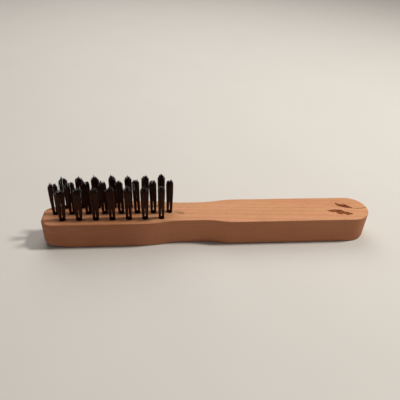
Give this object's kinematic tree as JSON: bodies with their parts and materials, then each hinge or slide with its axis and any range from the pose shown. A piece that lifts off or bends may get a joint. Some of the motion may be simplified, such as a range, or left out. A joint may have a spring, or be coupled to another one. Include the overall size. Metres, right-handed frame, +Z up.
{
  "type": "wire brush",
  "caption": "Hand wire brush: raw wooden board with a head, a waist and a rounded grip, and staggered rows of steel wire tufts folded over flat anchors in blind holes.",
  "frame": {"origin": "middle of the board's flat back face, which the brush lies on", "axes": "+X along the brush towards the round end of the grip, +Y across the board, +Z up, the way the wires point"},
  "size_m": [0.29, 0.0336, 0.0585],
  "materials": {
    "wood": "raw sanded hardwood, no varnish",
    "wire": "dark drawn steel wire, bright at the cut ends",
    "anchor_steel": "sheared bright steel strip"
  },
  "bodies": {
    "root": {"handle_block": "wood", "front_tuft_1": "wire", "front_tuft_2": "wire", "front_tuft_3": "wire", "front_tuft_4": "wire", "front_tuft_5": "wire", "front_tuft_6": "wire", "front_tuft_7": "wire", "middle_tuft_1": "wire", "middle_tuft_2": "wire", "middle_tuft_3": "wire", "middle_tuft_4": "wire", "middle_tuft_5": "wire", "middle_tuft_6": "wire", "middle_tuft_7": "wire", "middle_tuft_8": "wire", "rear_tuft_1": "wire", "rear_tuft_2": "wire", "rear_tuft_3": "wire", "rear_tuft_4": "wire", "rear_tuft_5": "wire", "rear_tuft_6": "wire", "rear_tuft_7": "wire", "front_anchor_1": "anchor_steel", "front_anchor_2": "anchor_steel", "front_anchor_3": "anchor_steel", "front_anchor_4": "anchor_steel", "front_anchor_5": "anchor_steel", "front_anchor_6": "anchor_steel", "front_anchor_7": "anchor_steel", "middle_anchor_1": "anchor_steel", "middle_anchor_2": "anchor_steel", "middle_anchor_3": "anchor_steel", "middle_anchor_4": "anchor_steel", "middle_anchor_5": "anchor_steel", "middle_anchor_6": "anchor_steel", "middle_anchor_7": "anchor_steel", "middle_anchor_8": "anchor_steel", "rear_anchor_1": "anchor_steel", "rear_anchor_2": "anchor_steel", "rear_anchor_3": "anchor_steel", "rear_anchor_4": "anchor_steel", "rear_anchor_5": "anchor_steel", "rear_anchor_6": "anchor_steel", "rear_anchor_7": "anchor_steel"}
  },
  "joints": []
}
